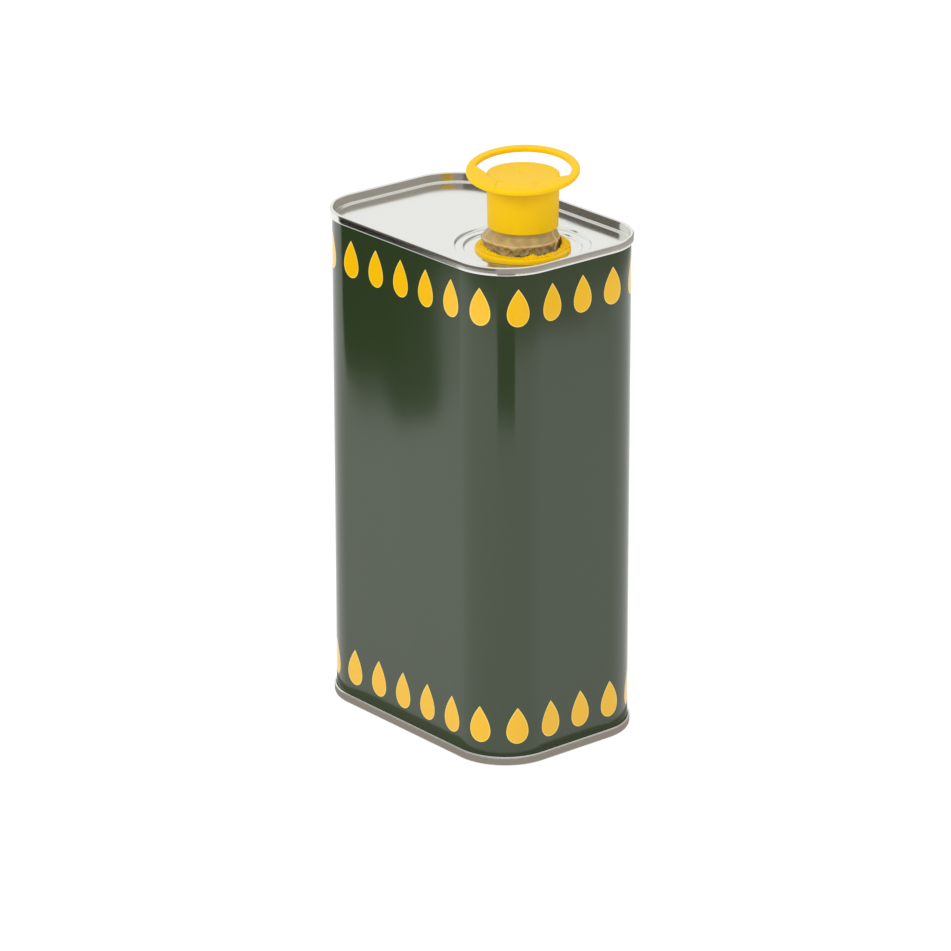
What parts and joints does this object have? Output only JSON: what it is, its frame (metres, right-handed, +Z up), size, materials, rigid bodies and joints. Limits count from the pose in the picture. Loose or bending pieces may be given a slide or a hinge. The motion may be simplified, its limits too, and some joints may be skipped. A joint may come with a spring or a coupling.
{
  "type": "oil tin with pull-up spout",
  "caption": "Rectangular rounded tin with folded end seams, a pull-up flexible pouring spout in its lid, and a screw cap with a pull ring.",
  "frame": {"origin": "centre of the base, on the surface that the bottom seam stands on", "axes": "+X along the wide side towards the spout, +Y along the narrow side, +Z up"},
  "size_m": [0.1002, 0.0686, 0.2002],
  "materials": {
    "lithographed_tinplate": "gloss green varnish with a yellow print",
    "bare_tinplate": "bright tinplate, satin",
    "sealing_compound": "matt",
    "yellow_polyethylene": "satin moulded",
    "natural_polyethylene": "translucent, crumpled",
    "foam_polyethylene": "matt"
  },
  "bodies": {
    "tin": {"tin_body": "lithographed_tinplate", "top_end": "bare_tinplate", "bottom_end": "bare_tinplate", "top_compound": "sealing_compound", "bottom_compound": "sealing_compound", "spout_collar": "yellow_polyethylene", "torn_film": "yellow_polyethylene", "sleeve_foot": "natural_polyethylene", "spout_sleeve": "natural_polyethylene"},
    "spout": {"spout_neck": "natural_polyethylene"},
    "liner": {"cap_liner": "foam_polyethylene"},
    "cap": {"screw_cap": "yellow_polyethylene"},
    "ring": {"pull_ring": "yellow_polyethylene"}
  },
  "joints": [
    {"name": "spout_slide", "type": "slide", "parent": "tin", "child": "spout", "axis": [0, 0, 1], "range_m": [-0.0215, 0.006], "deforming": ["spout_sleeve"]},
    {"name": "cap_lift", "type": "slide", "parent": "spout", "child": "liner", "axis": [0, 0, 1], "range_m": [0, 0.02]},
    {"name": "cap_turn", "type": "hinge", "parent": "liner", "child": "cap", "pos_m": [0.0217, 0, 0.187], "axis": [0, 0, 1], "range_deg": [0, 1200]},
    {"name": "ring_lift", "type": "hinge", "parent": "cap", "child": "ring", "pos_m": [0.03224, -0.01256, 0.1947], "axis": [0.766, 0.6428, 0], "range_deg": [-7, 100]}
  ],
  "couplings": [
    {"joint": "cap_lift", "follows": "cap_turn", "m_per_rad": 0.00095483}
  ]
}
